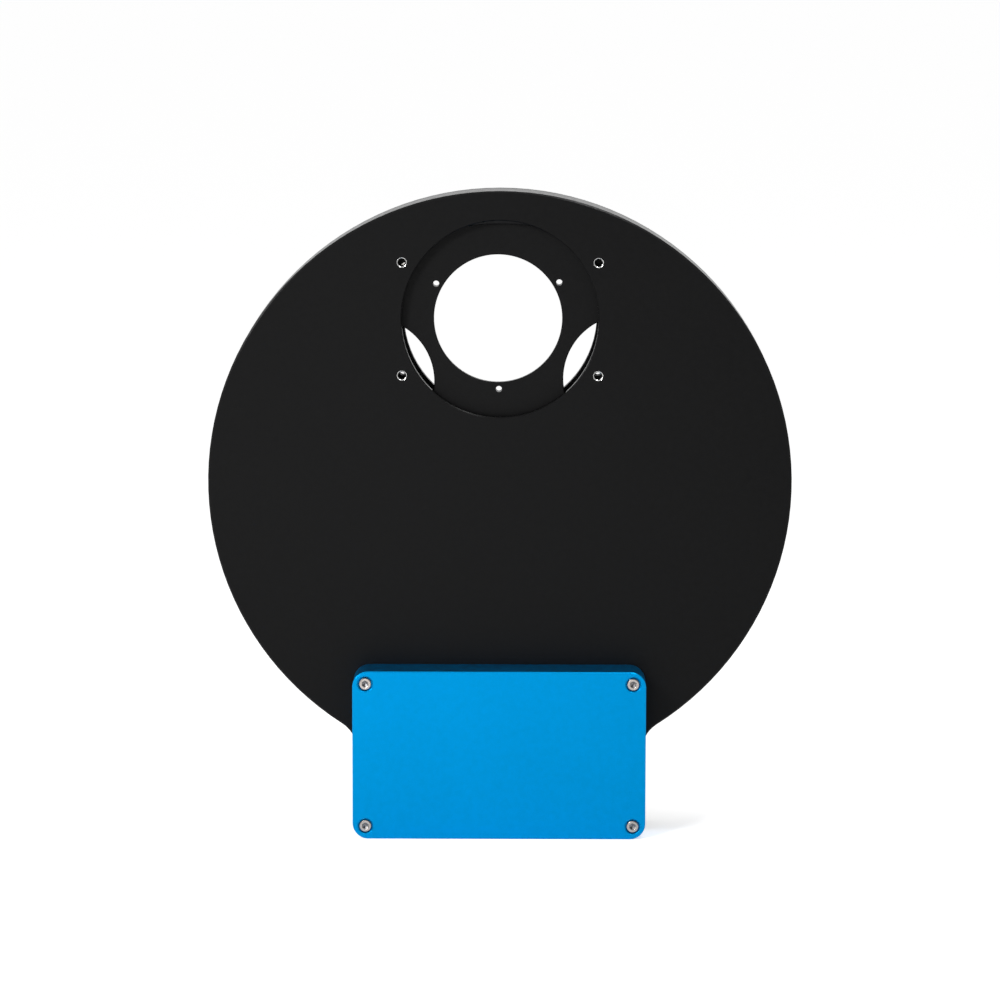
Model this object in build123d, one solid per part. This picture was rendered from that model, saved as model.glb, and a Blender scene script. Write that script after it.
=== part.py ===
from build123d import *
from math import atan, ceil, cos, pi, radians, sin, sqrt
import os

# Motorised seven position filter wheel for an astronomical camera. Sizes are in millimetres.
# X runs to the right and Z up, as seen from the camera side, and Y runs from the camera to the telescope.
# The origin is the centre of the camera opening, on the front face of the body.

# ---- filters and carousel ----
slots = 7
filter_r = 25.0           # unmounted round filters
filter_gap = 0.2
seat_web = 3.1            # between neighbouring seats
seat_rim = 8.5            # least wall outside the seats
ledge_width = 1.2         # the ledge that carries a filter's edge
ledge_thick = 2.5
aperture_break = 0.3
filter_screw_inset = 1.4  # from a seat's wall to the axes of its screws
filter_screw_r = 1.15
index_offset = 0.72       # degrees that the carousel rests away from its index mark
face_gap = 1.0            # from the face plate to the carousel
carousel_thick = 6.0
flange_rise = 1.56        # the flange that the gear seats on
flange_thick = 0.8
hub_r = 17.0
hub_flange_r = 24.0
hub_rise = 2.0
hub_screw_circle_r = 20.5
magnet_inset = 7.44       # from the carousel's edge to the magnets' axes
magnet_turn = 23.0        # degrees from a seat to its index magnet
magnet_r = 2.0
magnet_thick = 2.0
home_turn = 6.0           # degrees from an index magnet to the home magnet

# ---- gear ----
module = 1.25
pressure = 20.0
gear_ratio = 8
gear_rim = 3.0            # from the carousel to the roots of the ring's teeth
flank_gap = 0.04          # each flank is set back by this
gear_gap = 0.05           # between the carousel and the gear round it
gear_step = 0.4           # from the gear's back to the carousel's
pinion_overhang = 0.2

# ---- body ----
body_depth = 20.0
face_thick = 3.0
back_thick = 4.0
rim_gap = 4.35            # from the gear's tips to the wall
wall = 4.0
edge_break = 0.6          # chamfer round the outside of the body
seam_break = 0.3          # chamfer on both sides of the seam
neck_half = 54.0
neck_fillet = 12.0
neck_corner = 6.0
foot_gap = 2.8            # from the motor to the flat that the wheel stands on

# ---- openings in the body ----
camera_r = 36.9
telescope_step = 0.5      # the telescope's opening is smaller by this
lip_break = 0.4
bolt_inset = 5.53         # from the camera opening to the axes of the adapter bolts
bolt_turn = 30.0          # degrees from the level line to the first bolt
bolt_hole_r = 1.5
bolt_break = 0.35

# ---- bearing ----
bearing_bore_r = 5.0
bearing_r = 11.0
bearing_width = 6.0
inner_land_r = 6.8
outer_land_r = 9.3
ball_r = 1.5
balls = 7
ball_gap = 0.05
cage_inner_r = 7.35
cage_outer_r = 8.75
cage_width = 4.0
fit_gap = 0.02
shoulder_r = 7.0
post_flange_r = 9.0
post_sink = 1.2           # into the front plate
lip_bore_r = 8.6

# ---- screws: thread radius, head radius, head height, socket across flats, socket depth ----
m2 = (1.0, 1.9, 1.6, 1.5, 0.9)
m2_5 = (1.25, 2.25, 2.5, 2.0, 1.2)
m3 = (1.5, 2.75, 1.7, 2.0, 1.0)
m3_set = (1.5, 0.0, 0.0, 1.5, 1.5)
low_head = 1.3
thread_gap = 0.05
sink_r = 2.35             # countersunk head
sink_flats = 1.5
sink_socket = 0.9
rim_screw_inset = 3.5     # from the rim to the axes of the rear cover's screws
rim_screw_turns = (0, 40, 80, 120, 240, 280, 320)
rim_boss_r = 3.0
neck_boss_r = 4.6
plate_hole_floor = 1.0    # left in front of the rear cover's screws
plate_hole_spare = 0.4

# ---- cover on the neck ----
cover_overhang = 1.0      # beyond the neck on each side
cover_rise = 43.45        # above the motor's axis
cover_depth = 16.6
cover_corner = 6.0
cover_break = 0.35
cover_wall = 2.0
cover_screw_inset = 4.8
cover_post_r = 4.3
counterbore_r = 2.65
counterbore_depth = 2.8
counterbore_break = 0.45
cover_screw_reach = 2.4   # into the face plate

# ---- motor ----
motor_r = 17.5
motor_depth = 12.0
motor_flange_thick = 1.0
motor_ear_reach = 4.4     # from the can to the axes of the ears
motor_ear_r = 3.6
pilot_r = 5.4
pilot_rise = 1.5
shaft_r = 2.5
shaft_gap = 0.06
pinion_hub_r = 6.0
pinion_hub_rise = 3.6

# ---- electronics ----
board_width = 24.6
board_side = 3.25         # from the cover's side to the board
board_end = 9.9           # from the cover's ends to the board
board_thick = 1.6
board_stand = 3.0
board_inset = 3.0
spacer_r = 2.5
chip_column = 11.5        # from the board's left edge
plug_column = 4.5
plug_width = 5.6
plug_tall = 5.8
plug_wall = 0.7
controller_drop = 7.5     # from the board's middle
driver_rise = 10.5
motor_plug_drop = 8.5
sensor_plug_rise = 9.5
port_width = 8.94
port_height = 3.2
port_length = 7.3
port_shell = 0.3
port_slot_gap = 0.2
port_recess = 0.3         # from the cover's side to the port's mouth
sensor_board_w = 17.0
sensor_board_h = 9.0
sensor_screw_x = 6.2
sensor_w = 4.0
sensor_h = 3.0
sensor_thick = 1.5
sensor_window_gap = 0.5

# ---- derived, across ----
seat_r = filter_r + filter_gap
aperture_r = seat_r - ledge_width
axis_drop = (2 * seat_r + seat_web) / (2 * sin(pi / slots))
least_ring_r = axis_drop + seat_r + seat_rim + gear_rim + 1.25 * module
pinion_teeth = ceil(2 * least_ring_r / (module * gear_ratio))
ring_teeth = pinion_teeth * gear_ratio
ring_pitch_r = module * ring_teeth / 2
pinion_pitch_r = module * pinion_teeth / 2
carousel_r = ring_pitch_r - 1.25 * module - gear_rim
flange_r = carousel_r + flange_rise
magnet_circle_r = carousel_r - magnet_inset
disc_r = ring_pitch_r + module + rim_gap + wall
rim_screw_r = disc_r - rim_screw_inset
telescope_r = camera_r - telescope_step
bolt_x = (camera_r + bolt_inset) * cos(radians(bolt_turn))
bolt_z = (camera_r + bolt_inset) * sin(radians(bolt_turn))
pinion_z = -axis_drop - ring_pitch_r - pinion_pitch_r
foot_z = pinion_z - motor_r - foot_gap
cover_half = neck_half + cover_overhang
cover_top = pinion_z + cover_rise
cover_height = cover_top - foot_z
cover_mid = (cover_top + foot_z) / 2
cover_screws_at = [
    (side * (cover_half - cover_screw_inset), level)
    for side in (-1, 1)
    for level in (cover_top - cover_screw_inset, foot_z + cover_screw_inset)
]
motor_ear = motor_r + motor_ear_reach
board_right = cover_half - board_side
board_left = board_right - board_width
board_bottom = foot_z + board_end
board_top = cover_top - board_end
board_mid = (board_bottom + board_top) / 2
board_screws_at = [
    (across, level)
    for across in (board_left + board_inset, board_right - board_inset)
    for level in (board_bottom + board_inset, board_top - board_inset)
]
sensor_turn = radians(90 + magnet_turn + 3 * 360 / slots)
sensor_x = magnet_circle_r * cos(sensor_turn)
sensor_z = magnet_circle_r * sin(sensor_turn) - axis_drop

# ---- derived, in depth ----
seam = body_depth - back_thick
carousel_front = face_thick + face_gap
carousel_back = carousel_front + carousel_thick
hub_back = carousel_back + hub_rise
bearing_front = hub_back - bearing_width
bearing_mid = hub_back - bearing_width / 2
ball_circle_r = (inner_land_r + outer_land_r) / 2
gear_front = carousel_front + flange_thick
gear_back = carousel_back - gear_step
board_back = -board_stand
board_front = board_back - board_thick


def slab(profile, front, back):
    """Fills a profile drawn in the front view from one depth to another."""
    seat = Plane(origin=(0, back, 0), x_dir=(1, 0, 0), z_dir=(0, -1, 0))
    return seat * extrude(profile, back - front)


def disc(x, z, r, front, back):
    """A round slab."""
    return slab(Pos(x, z) * Circle(r), front, back)


def lathe(points, x=0, z=0):
    """Turns a profile of (radius, depth) points about a line along Y."""
    return Pos(x, 0, z) * revolve(make_face(Polyline(points, close=True)), Axis.Y, 360)


def around(count, radius, first=90.0):
    """Points on a circle about the carousel axis, as (x, z, degrees), anticlockwise from the first."""
    turns = [first + 360 * k / count for k in range(count)]
    return [(radius * cos(radians(t)), radius * sin(radians(t)) - axis_drop, t) for t in turns]


def sink(x, z, r, back_r, front, back):
    """A cone frustum that is cut for a chamfer or a countersink."""
    return lathe([(0, front), (r, front), (back_r, back), (0, back)], x, z)


def front_screw(size, x, z, seat, tip):
    """Socket head screw put in from the front: the head is ahead of its seat."""
    thread_r, head_r, head_h, flats, socket = size
    top = seat - head_h
    bevel = 0.2
    body = lathe([(0, tip), (thread_r, tip), (thread_r, seat), (head_r, seat),
                  (head_r, top + bevel), (head_r - bevel, top), (0, top)], x, z)
    return body - slab(Pos(x, z) * RegularPolygon(flats / sqrt(3), 6), top, top + socket)


def body_outline(inset=0.0):
    """Front view of the body, a disc with a filleted neck below it, inset from the outside."""
    neck_top = -axis_drop - disc_r / 2
    foot = foot_z + inset
    head = Pos(0, -axis_drop) * Circle(disc_r - inset)
    neck = Pos(0, (neck_top + foot) / 2) * Rectangle(2 * (neck_half - inset), neck_top - foot)
    shape = head + neck
    shape = fillet(shape.vertices().sort_by(Axis.Y)[2:4], neck_fillet + inset)
    return fillet(shape.vertices().sort_by(Axis.Y)[0:2], neck_corner - inset)


def rear_screw_places():
    """Places of the rear cover's screws: round the rim, in the neck's fillets and along the foot."""
    places = [(x, z) for x, z, _ in [around(1, rim_screw_r, 90 - t)[0] for t in rim_screw_turns]]
    fillet_x = neck_half + neck_fillet
    fillet_z = -axis_drop - sqrt((disc_r + neck_fillet) ** 2 - fillet_x ** 2)
    step = (neck_fillet + disc_r - rim_screw_r) * sin(radians(45))
    for side in (-1, 1):
        places.append((side * (fillet_x - step), fillet_z + step))
        places.append((side * neck_half / 2, foot_z + neck_boss_r))
    return places


def make_front_plate():
    """Plate with the camera opening, the adapter's bolt holes and what the motor and the boards need."""
    plate = slab(body_outline(), 0, face_thick)
    plate = chamfer(plate.faces().sort_by(Axis.Y)[0].edges(), edge_break)
    thread_r = m2_5[0] + thread_gap
    for x, z in rear_screw_places():
        plate -= disc(x, z, thread_r, plate_hole_floor, face_thick)
    plate -= disc(0, -axis_drop, post_flange_r + fit_gap, face_thick - post_sink, face_thick)
    plate -= disc(0, 0, camera_r, 0, face_thick)
    plate -= sink(0, 0, camera_r + lip_break, camera_r, 0, lip_break)
    for x in (-bolt_x, bolt_x):
        for z in (-bolt_z, bolt_z):
            plate -= disc(x, z, bolt_hole_r, 0, face_thick)
            plate -= sink(x, z, bolt_hole_r + bolt_break, bolt_hole_r, 0, bolt_break)
    plate -= disc(0, pinion_z, pilot_r + thread_gap, 0, face_thick)
    for x in (-motor_ear, motor_ear):
        plate -= disc(x, pinion_z, m3[0] + thread_gap, 0, cover_screw_reach + 0.2)
    for x, z in cover_screws_at + board_screws_at:
        plate -= disc(x, z, thread_r, 0, cover_screw_reach + 0.2)
    for side in (-1, 1):
        plate -= disc(sensor_x + side * sensor_screw_x, sensor_z, m2[0] + thread_gap, 0, cover_screw_reach)
    window = Rectangle(sensor_w + 2 * sensor_window_gap, sensor_h + 2 * sensor_window_gap)
    return plate - slab(Pos(sensor_x, sensor_z) * window, 0, sensor_thick + sensor_window_gap)


def make_body_frame():
    """Wall round the carousel and the pinion, with a boss for each of the rear cover's screws."""
    frame = slab(body_outline(), face_thick, seam)
    frame = chamfer(frame.faces().sort_by(Axis.Y)[-1].edges(), seam_break)
    pocket = body_outline(wall)
    for x, z in rear_screw_places():
        boss_r = neck_boss_r if z < foot_z + 2 * neck_boss_r else rim_boss_r
        pocket -= Pos(x, z) * Circle(boss_r)
    frame -= slab(pocket, face_thick, seam)
    for x, z in rear_screw_places():
        frame -= disc(x, z, m2_5[0] + thread_gap, face_thick, seam)
    return frame


def make_hub_post():
    """Turned post, sunk in the front plate, that carries the bearing's inner ring."""
    bore = m3[0] + thread_gap
    return lathe([(0, face_thick - post_sink), (post_flange_r, face_thick - post_sink), (post_flange_r, face_thick),
                  (shoulder_r, face_thick), (shoulder_r, bearing_front), (bearing_bore_r - fit_gap, bearing_front),
                  (bearing_bore_r - fit_gap, hub_back - 0.2), (bore, hub_back - 0.2), (bore, face_thick + 2),
                  (0, face_thick + 2)], 0, -axis_drop)


def make_rear_cover():
    """Plate that closes the shell, with the telescope opening and countersunk holes."""
    plate = slab(body_outline(), seam, body_depth)
    plate = chamfer(plate.faces().sort_by(Axis.Y)[0].edges(), seam_break)
    plate = chamfer(plate.faces().sort_by(Axis.Y)[-1].edges(), edge_break)
    plate -= disc(0, 0, telescope_r, seam, body_depth)
    plate -= sink(0, 0, telescope_r, telescope_r + lip_break, body_depth - lip_break, body_depth)
    for x in (-bolt_x, bolt_x):
        for z in (-bolt_z, bolt_z):
            plate -= disc(x, z, bolt_hole_r, seam, body_depth)
            plate -= sink(x, z, bolt_hole_r, bolt_hole_r + bolt_break, body_depth - bolt_break, body_depth)
    thread_r = m2_5[0] + thread_gap
    head_depth = sink_r - m2_5[0]
    for x, z in rear_screw_places():
        plate -= disc(x, z, thread_r, seam, body_depth)
        plate -= sink(x, z, thread_r, sink_r + thread_gap, body_depth - head_depth, body_depth)
    return plate


def make_rear_cover_screws():
    """Countersunk screws put in from the telescope side, through the frame and into the front plate."""
    tip = plate_hole_floor + plate_hole_spare
    thread_r = m2_5[0]
    neck = body_depth - (sink_r - thread_r) - thread_gap
    face = body_depth - thread_gap
    made = []
    for x, z in rear_screw_places():
        screw = lathe([(0, tip), (thread_r, tip), (thread_r, neck), (sink_r, face), (0, face)], x, z)
        made.append(screw - slab(Pos(x, z) * RegularPolygon(sink_flats / sqrt(3), 6), face - sink_socket, face))
    return Compound(children=made)


def make_motor_cover():
    """Hollow box over the motor and the electronics, open at the back, with four screw posts."""
    outside = Pos(0, cover_mid) * RectangleRounded(2 * cover_half, cover_height, cover_corner)
    box = slab(outside, -cover_depth, 0)
    box = chamfer(box.faces().sort_by(Axis.Y)[0].edges(), cover_break)
    inside = Pos(0, cover_mid) * RectangleRounded(2 * (cover_half - cover_wall), cover_height - 2 * cover_wall,
                                                  cover_corner - cover_wall)
    for x, z in cover_screws_at:
        inside -= Pos(x, z) * Circle(cover_post_r)
    box -= slab(inside, cover_wall - cover_depth, 0)
    seat = counterbore_depth - cover_depth
    for x, z in cover_screws_at:
        box -= disc(x, z, m2_5[0] + 0.1, -cover_depth, 0)
        box -= disc(x, z, counterbore_r, -cover_depth, seat)
        box -= sink(x, z, counterbore_r + counterbore_break, counterbore_r,
                    -cover_depth, counterbore_break - cover_depth)
    slot = port_seat(cover_half - 2 * cover_wall)
    hole = SlotOverall(port_width + 2 * port_slot_gap, port_height + 2 * port_slot_gap)
    return box - slot * extrude(hole, 4 * cover_wall)


def make_cover_screws():
    """Four socket head screws, each in its counterbore."""
    seat = counterbore_depth - cover_depth
    return Compound(children=[front_screw(m2_5, x, z, seat, cover_screw_reach) for x, z in cover_screws_at])


def make_bearing_inner_ring():
    """Inner ring with its ball groove."""
    land = Pos((bearing_bore_r + inner_land_r) / 2, bearing_mid) * Rectangle(
        inner_land_r - bearing_bore_r, bearing_width)
    groove = Pos(ball_circle_r, bearing_mid) * Circle(ball_r + ball_gap)
    return Pos(0, 0, -axis_drop) * revolve(land - groove, Axis.Y, 360)


def make_bearing_outer_ring():
    """Outer ring with its ball groove."""
    land = Pos((bearing_r + outer_land_r) / 2, bearing_mid) * Rectangle(bearing_r - outer_land_r, bearing_width)
    groove = Pos(ball_circle_r, bearing_mid) * Circle(ball_r + ball_gap)
    return Pos(0, 0, -axis_drop) * revolve(land - groove, Axis.Y, 360)


def make_bearing_balls():
    """The bearing's balls on their pitch circle."""
    return Compound(children=[Pos(x, bearing_mid, z) * Sphere(ball_r) for x, z, _ in around(balls, ball_circle_r)])


def make_bearing_cage():
    """Ring between the balls, with a window round each."""
    half = cage_width / 2
    ring = lathe([(cage_inner_r, bearing_mid - half), (cage_outer_r, bearing_mid - half),
                  (cage_outer_r, bearing_mid + half), (cage_inner_r, bearing_mid + half)], 0, -axis_drop)
    for x, z, turn in around(balls, ball_circle_r):
        window = Cylinder(ball_r + ball_gap, 2 * ball_r, rotation=(0, 90, 0))
        ring -= Pos(x, bearing_mid, z) * Rot(0, -turn, 0) * window
    return ring


def make_hub_washer():
    """Washer that clamps the inner ring on the post."""
    inner = m3[0] + thread_gap
    return lathe([(inner, hub_back), (inner_land_r - 0.2, hub_back), (inner_land_r - 0.2, hub_back + 1),
                  (inner, hub_back + 1)], 0, -axis_drop)


def make_hub_screw():
    """Low socket head screw that holds the washer."""
    thread_r, head_r, head_h, flats, socket = m3
    seat = hub_back + 1
    top = seat + head_h
    screw = lathe([(0, face_thick + 2.5), (thread_r, face_thick + 2.5), (thread_r, seat), (head_r, seat),
                   (head_r, top - 0.2), (head_r - 0.2, top), (0, top)], 0, -axis_drop)
    return screw - slab(Pos(0, -axis_drop) * RegularPolygon(flats / sqrt(3), 6), top - socket, top)


def make_carrier():
    """One seventh of the carousel about the origin, with its stepped seat above, screw holes and magnet pocket."""
    inner = hub_r + fit_gap
    ring = lathe([(inner, carousel_front), (flange_r, carousel_front), (flange_r, gear_front),
                  (carousel_r, gear_front), (carousel_r, carousel_back), (inner, carousel_back)])
    half = radians(180 / slots)
    reach = 2 * flange_r
    wedge = make_face(Polyline([(0, 0), (reach * sin(half), reach * cos(half)),
                                (-reach * sin(half), reach * cos(half))], close=True))
    carrier = ring & slab(wedge, carousel_front, carousel_back)
    carrier -= disc(0, axis_drop, aperture_r, carousel_front, carousel_back)
    carrier -= sink(0, axis_drop, aperture_r + aperture_break, aperture_r,
                    carousel_front, carousel_front + aperture_break)
    carrier -= disc(0, axis_drop, seat_r, carousel_front + ledge_thick, carousel_back)
    for k in range(3):
        side = radians(150 + 120 * k)
        carrier -= disc((seat_r + filter_screw_inset) * cos(side), axis_drop + (seat_r + filter_screw_inset) * sin(side),
                        filter_screw_r, carousel_front, carousel_back)
    carrier -= disc(0, hub_screw_circle_r, m2[0] + thread_gap, gear_front, carousel_back)
    return carrier - magnet_pocket(90 + magnet_turn)


def magnet_pocket(turn):
    """Pocket in the carousel's front, at an angle about the origin."""
    return disc(magnet_circle_r * cos(radians(turn)), magnet_circle_r * sin(radians(turn)),
                magnet_r + fit_gap, carousel_front, carousel_front + magnet_thick)


def make_filter_carrier(k):
    """The carrier that stands k places clockwise of the openings. The second holds the home magnet as well."""
    carrier = make_carrier()
    if k == 1:
        carrier -= magnet_pocket(90 + magnet_turn + home_turn - 360 / slots)
    return Pos(0, 0, -axis_drop) * Rot(0, -index_offset - 360 * k / slots, 0) * carrier


def make_carousel_hub():
    """Turned hub with the bearing's seat, and a flange behind the carriers."""
    hub = lathe([(lip_bore_r, carousel_front), (hub_r, carousel_front), (hub_r, carousel_back),
                 (hub_flange_r, carousel_back), (hub_flange_r, hub_back), (bearing_r + fit_gap, hub_back),
                 (bearing_r + fit_gap, bearing_front), (lip_bore_r, bearing_front)], 0, -axis_drop)
    for x, z, _ in around(slots, hub_screw_circle_r, 90 + index_offset):
        hub -= disc(x, z, m2[0] + 2 * thread_gap, carousel_back, hub_back)
    return hub


def make_carrier_screws():
    """One low screw to each carrier, through the hub's flange."""
    thread_r, head_r, _, flats, _ = m2
    head = hub_back + low_head
    made = []
    for x, z, _ in around(slots, hub_screw_circle_r, 90 + index_offset):
        screw = lathe([(0, gear_front + 1), (thread_r, gear_front + 1), (thread_r, hub_back), (head_r, hub_back),
                       (head_r, head - 0.2), (head_r - 0.2, head), (0, head)], x, z)
        made.append(screw - slab(Pos(x, z) * RegularPolygon(flats / sqrt(3), 6), head - low_head / 2, head))
    return Compound(children=made)


def magnet_places():
    """One index magnet to each seat."""
    return [(x, z) for x, z, _ in around(slots, magnet_circle_r, 90 + index_offset + magnet_turn)]


def home_place():
    """The extra magnet that tells the first slot from the rest."""
    return [(x, z) for x, z, _ in around(1, magnet_circle_r, 90 + index_offset + magnet_turn + home_turn)]


def make_magnets(places):
    """Round magnets, flush with the carousel's front."""
    return Compound(children=[disc(x, z, magnet_r, carousel_front, carousel_front + magnet_thick)
                              for x, z in places])


def unwound(base, r):
    """Polar angle of a circle's involute at a radius."""
    t = sqrt(max(r * r / (base * base) - 1, 0))
    return t - atan(t)


def gear_outline(teeth, steps):
    """Spur gear with involute flanks in straight steps, with one tooth on the x axis."""
    pitch = module * teeth / 2
    base = pitch * cos(radians(pressure))
    tip = pitch + module
    root = pitch - 1.25 * module
    start = max(base, root)
    half = pi / (2 * teeth) - flank_gap / pitch + unwound(base, pitch)
    flank = []
    if start > root:
        flank.append((root, half))
    for k in range(steps + 1):
        r = start + (tip - start) * k / steps
        flank.append((r, half - unwound(base, r)))
    points = []
    for k in range(teeth):
        middle = 2 * pi * k / teeth
        points += [(r * cos(middle - a), r * sin(middle - a)) for r, a in flank]
        points += [(r * cos(middle + a), r * sin(middle + a)) for r, a in reversed(flank)]
    return make_face(Polyline(points, close=True))


def make_ring_gear():
    """Toothed ring round the carousel, seated on its flange."""
    ring = gear_outline(ring_teeth, 1) - Circle(carousel_r + gear_gap)
    return slab(Pos(0, -axis_drop) * Rot(0, 0, index_offset) * ring, gear_front, gear_back)


def pinion_turn():
    """Degrees that put a gap of the pinion on the ring's tooth, with the ring turned by its offset."""
    return 90 + 180 / pinion_teeth - index_offset * ring_teeth / pinion_teeth


def make_drive_pinion():
    """Pinion with a hub behind its teeth, bored for the shaft and tapped for its set screw."""
    front = gear_front - pinion_overhang
    back = gear_back + pinion_overhang
    gear = slab(Pos(0, pinion_z) * Rot(0, 0, pinion_turn()) * gear_outline(pinion_teeth, 4), front, back)
    gear += disc(0, pinion_z, pinion_hub_r, back, back + pinion_hub_rise)
    gear -= disc(0, pinion_z, shaft_r + fit_gap, front, back + pinion_hub_rise)
    return gear - set_screw_place() * Cylinder(
        m3_set[0] + thread_gap, pinion_hub_r, align=(Align.CENTER, Align.CENTER, Align.MIN))


def set_screw_place():
    """Axis of the set screw, square to the shaft and half way along the hub."""
    middle = gear_back + pinion_overhang + pinion_hub_rise / 2
    return Plane(origin=(shaft_r * 0.5, middle, pinion_z), x_dir=(0, 1, 0), z_dir=(1, 0, 0))


def make_pinion_set_screw():
    """Headless screw that bears on the shaft."""
    radius, _, _, flats, socket = m3_set
    start = shaft_r * 0.5 + thread_gap
    length = pinion_hub_r - shaft_r - 0.4
    screw = Cylinder(radius, length, align=(Align.CENTER, Align.CENTER, Align.MIN))
    screw -= Pos(0, 0, length - socket) * extrude(RegularPolygon(flats / sqrt(3), 6), socket)
    return set_screw_place() * (Pos(0, 0, start) * screw)


def make_motor_shaft():
    """Shaft through the motor, the face plate and the pinion."""
    back = gear_back + pinion_overhang + pinion_hub_rise + 0.4
    front = 1.5 - motor_depth
    return lathe([(0, front), (shaft_r, front), (shaft_r, back - 0.4), (shaft_r - 0.4, back), (0, back)],
                 0, pinion_z)


def make_motor_body():
    """Drawn can of the flat stepping motor, bored for the shaft."""
    bore = shaft_r + shaft_gap
    front = -motor_depth
    bevel = 0.8
    return lathe([(0, front), (motor_r - bevel, front), (motor_r, front + bevel), (motor_r, -motor_flange_thick),
                  (bore, -motor_flange_thick), (bore, front + 1), (0, front + 1)], 0, pinion_z)


def make_motor_flange():
    """Mounting plate with two ears and the pilot that centres the motor."""
    bore = Circle(shaft_r + shaft_gap)
    plate = Circle(motor_r) + SlotCenterToCenter(2 * motor_ear, 2 * motor_ear_r) - bore
    for x in (-motor_ear, motor_ear):
        plate -= Pos(x, 0) * Circle(m3[0] + 0.1)
    flange = slab(Pos(0, pinion_z) * plate, -motor_flange_thick, 0)
    return flange + slab(Pos(0, pinion_z) * (Circle(pilot_r) - bore), 0, pilot_rise)


def make_motor_screws():
    """Two screws through the ears into the face plate."""
    return Compound(children=[front_screw(m3, x, pinion_z, -motor_flange_thick, cover_screw_reach)
                              for x in (-motor_ear, motor_ear)])


def make_control_board():
    """Circuit board on four spacers."""
    outline = Pos((board_left + board_right) / 2, (board_bottom + board_top) / 2) * RectangleRounded(
        board_right - board_left, board_top - board_bottom, 1.5)
    for x, z in board_screws_at:
        outline -= Pos(x, z) * Circle(m2_5[0] + 0.1)
    return slab(outline, board_front, board_back)


def make_board_spacers():
    """Round spacers between the board and the face plate."""
    ring = Circle(spacer_r) - Circle(m2_5[0] + 0.1)
    return Compound(children=[slab(Pos(x, z) * ring, board_back, 0) for x, z in board_screws_at])


def make_board_screws():
    """Screws through the board and its spacers."""
    low = (m2_5[0], m2_5[1], 1.5, m2_5[3], 0.8)
    return Compound(children=[front_screw(low, x, z, board_front, cover_screw_reach) for x, z in board_screws_at])


def chip(x, z, width, height, thick):
    """A block that stands on the front of the board."""
    return slab(Pos(x, z) * Rectangle(width, height), board_front - thick, board_front)


def socket_shell(x, z, width, height, tall):
    """An open topped plug housing on the board."""
    shell = chip(x, z, width, height, tall)
    inside = Rectangle(width - 2 * plug_wall, height - 2 * plug_wall)
    return shell - slab(Pos(x, z) * inside, board_front - tall, board_front - 1)


def port_profile(inset):
    """Stadium outline of the port."""
    return SlotOverall(port_width - 2 * inset, port_height - 2 * inset)


def port_seat(x):
    """Plane across the port at a given x, facing the right."""
    return Plane(origin=(x, board_front - port_height / 2, board_mid), x_dir=(0, 0, 1), z_dir=(1, 0, 0))


def make_usb_socket():
    """Drawn metal shell of the port, open to the right."""
    start = cover_half - port_recess - port_length
    shell = port_seat(start) * extrude(port_profile(0), port_length)
    return shell - port_seat(start + 1) * extrude(port_profile(port_shell), port_length)


def make_usb_tongue():
    """The port's contact tongue, standing on the back of its shell."""
    start = cover_half - port_recess - port_length + 1
    return port_seat(start) * extrude(Rectangle(0.75 * port_width, 0.22 * port_height), 0.6 * port_length)


def make_sensor_board():
    """Small board flat on the face plate, over the window for the sensor."""
    outline = Pos(sensor_x, sensor_z) * RectangleRounded(sensor_board_w, sensor_board_h, 1)
    for side in (-1, 1):
        outline -= Pos(sensor_x + side * sensor_screw_x, sensor_z) * Circle(m2[0] + 0.1)
    return slab(outline, -board_thick, 0)


def make_hall_sensor():
    """Sensor on the back of its board, in the window."""
    return slab(Pos(sensor_x, sensor_z) * Rectangle(sensor_w, sensor_h), 0, sensor_thick)


def make_sensor_screws():
    """Two small screws that hold the sensor board."""
    return Compound(children=[front_screw(m2, sensor_x + side * sensor_screw_x, sensor_z, -board_thick,
                                          cover_screw_reach - 0.2) for side in (-1, 1)])


pieces = {
    "front_plate": make_front_plate(),
    "body_frame": make_body_frame(),
    "hub_post": make_hub_post(),
    "rear_cover": make_rear_cover(),
    "rear_cover_screws": make_rear_cover_screws(),
    "motor_cover": make_motor_cover(),
    "cover_screws": make_cover_screws(),
    "bearing_inner_ring": make_bearing_inner_ring(),
    "hub_washer": make_hub_washer(),
    "hub_screw": make_hub_screw(),
    "motor_body": make_motor_body(),
    "motor_flange": make_motor_flange(),
    "motor_screws": make_motor_screws(),
    "control_board": make_control_board(),
    "board_spacers": make_board_spacers(),
    "board_screws": make_board_screws(),
    "controller_chip": chip(board_left + chip_column, board_mid - controller_drop, 7.0, 7.0, 1.0),
    "driver_chip": chip(board_left + chip_column, board_mid + driver_rise, 5.0, 5.0, 0.9),
    "motor_socket": socket_shell(board_left + plug_column, board_mid - motor_plug_drop, plug_width, 12.0, plug_tall),
    "sensor_socket": socket_shell(board_left + plug_column, board_mid + sensor_plug_rise, plug_width, 8.0, plug_tall),
    "usb_socket": make_usb_socket(),
    "usb_tongue": make_usb_tongue(),
    "sensor_board": make_sensor_board(),
    "hall_sensor": make_hall_sensor(),
    "sensor_screws": make_sensor_screws(),
    "carousel_hub": make_carousel_hub(),
    "carrier_screws": make_carrier_screws(),
    "ring_gear": make_ring_gear(),
    "bearing_outer_ring": make_bearing_outer_ring(),
    "index_magnets": make_magnets(magnet_places()),
    "home_magnet": make_magnets(home_place()),
    "bearing_balls": make_bearing_balls(),
    "bearing_cage": make_bearing_cage(),
    "motor_shaft": make_motor_shaft(),
    "drive_pinion": make_drive_pinion(),
    "pinion_set_screw": make_pinion_set_screw(),
}
for k in range(slots):
    pieces[f"filter_carrier_{k + 1}"] = make_filter_carrier(k)

os.makedirs("parts", exist_ok=True)
for name, piece in pieces.items():
    export_step(piece, f"parts/{name}.step")
    print(f"{name:20s} {piece.volume:12.2f} mm3")
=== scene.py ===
import math

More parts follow.
